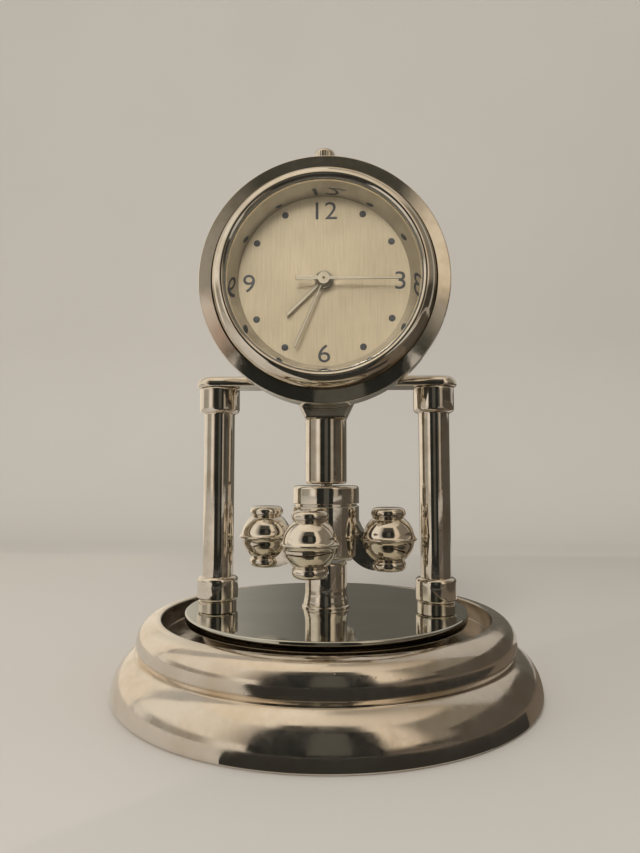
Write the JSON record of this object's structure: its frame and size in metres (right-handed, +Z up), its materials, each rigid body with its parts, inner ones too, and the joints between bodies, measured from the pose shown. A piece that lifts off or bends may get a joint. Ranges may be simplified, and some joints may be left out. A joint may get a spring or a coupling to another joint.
{
  "type": "desk clock",
  "caption": "Miniature desk clock: round quartz head on columns above a stepped round base, with a turning ball pendulum between centre posts.",
  "frame": {"origin": "centre of the underside of the base, on the pendulum's axis", "axes": "+Z up along the pendulum's axis, the dial faces -Y, +X to the right of a person who looks at the dial"},
  "size_m": [0.0534, 0.0534, 0.0686],
  "materials": {
    "plated_casting": "warm bright nickel plate",
    "felt": "glued felt",
    "mirror_plate": "mirror polish",
    "plated_posts": "bright nickel plate",
    "plated_head": "bright nickel plate",
    "case_steel": "circular brushed",
    "screw_steel": "zinc plated steel",
    "nylon": "natural nylon",
    "crystal_glass": "polished mineral glass",
    "gasket": "soft translucent plastic",
    "dial_face": "champagne, upright brushed",
    "movement_resin": "moulded resin",
    "cell_steel": "nickel plated",
    "copper_coil": "enamelled copper wire",
    "board": "solder resist",
    "train_brass": "turned brass",
    "hand_steel": "satin with darkened edges"
  },
  "bodies": {
    "clock": {"base_shell": "plated_casting", "felt_pad": "felt", "mirror_disc": "mirror_plate", "column_tube_left": "plated_posts", "column_tube_right": "plated_posts", "column_top_ferrule_left": "plated_posts", "column_top_ferrule_right": "plated_posts", "column_foot_ferrule_left": "plated_posts", "column_foot_ferrule_right": "plated_posts", "crossbar": "plated_posts", "neck_block": "plated_posts", "lower_post": "plated_posts", "upper_post": "plated_posts", "case_body": "plated_head", "bezel": "plated_head", "rehaut_ring": "plated_head", "case_back": "case_steel", "tie_rods": "screw_steel", "tie_rod_washers": "screw_steel", "tie_rod_nuts": "screw_steel", "neck_screw": "screw_steel", "case_screws": "screw_steel", "lower_post_screw": "screw_steel", "pendulum_spindle": "screw_steel", "cell_clamp": "screw_steel", "thrust_washer": "nylon", "crystal": "crystal_glass", "crystal_gasket": "gasket", "dial": "dial_face", "movement_holder": "movement_resin", "movement_plate": "movement_resin", "power_cell": "cell_steel", "drive_coil": "copper_coil", "circuit_board": "board"},
    "pendulum": {"pendulum_drum": "plated_posts", "pendulum_cap": "plated_posts", "pendulum_ball_right": "plated_posts", "pendulum_ball_back": "plated_posts", "pendulum_ball_left": "plated_posts", "pendulum_ball_front": "plated_posts"},
    "minute_train": {"cannon_pinion": "train_brass", "minute_hand": "hand_steel"},
    "hour_train": {"hour_wheel": "train_brass", "hour_hand": "hand_steel"},
    "seconds_train": {"seconds_arbor": "train_brass", "second_hand": "hand_steel"},
    "setting_slide": {"setting_lever": "screw_steel"},
    "crown_and_stem": {"crown": "plated_head", "winding_stem": "screw_steel"}
  },
  "joints": [
    {"name": "pendulum_spin", "type": "hinge", "parent": "clock", "child": "pendulum", "pos_m": [0, 0, 0.0184], "axis": [0, 0, 1], "continuous": true},
    {"name": "minute_hand_turn", "type": "hinge", "parent": "clock", "child": "minute_train", "pos_m": [0, -0.00735, 0.0508], "axis": [0, 1, 0], "continuous": true},
    {"name": "hour_hand_turn", "type": "hinge", "parent": "clock", "child": "hour_train", "pos_m": [0, -0.007, 0.0508], "axis": [0, 1, 0], "continuous": true},
    {"name": "second_hand_turn", "type": "hinge", "parent": "clock", "child": "seconds_train", "pos_m": [0, -0.00775, 0.0508], "axis": [0, 1, 0], "continuous": true},
    {"name": "crown_pull", "type": "slide", "parent": "clock", "child": "setting_slide", "axis": [0, 0, 1], "range_m": [0, 0.0008]},
    {"name": "crown_turn", "type": "hinge", "parent": "setting_slide", "child": "crown_and_stem", "pos_m": [0, -0.0046, 0.068], "axis": [0, 0, 1], "continuous": true}
  ],
  "couplings": [
    {"joint": "hour_hand_turn", "follows": "minute_hand_turn", "ratio": 0.083333},
    {"joint": "second_hand_turn", "follows": "minute_hand_turn", "ratio": 60}
  ]
}
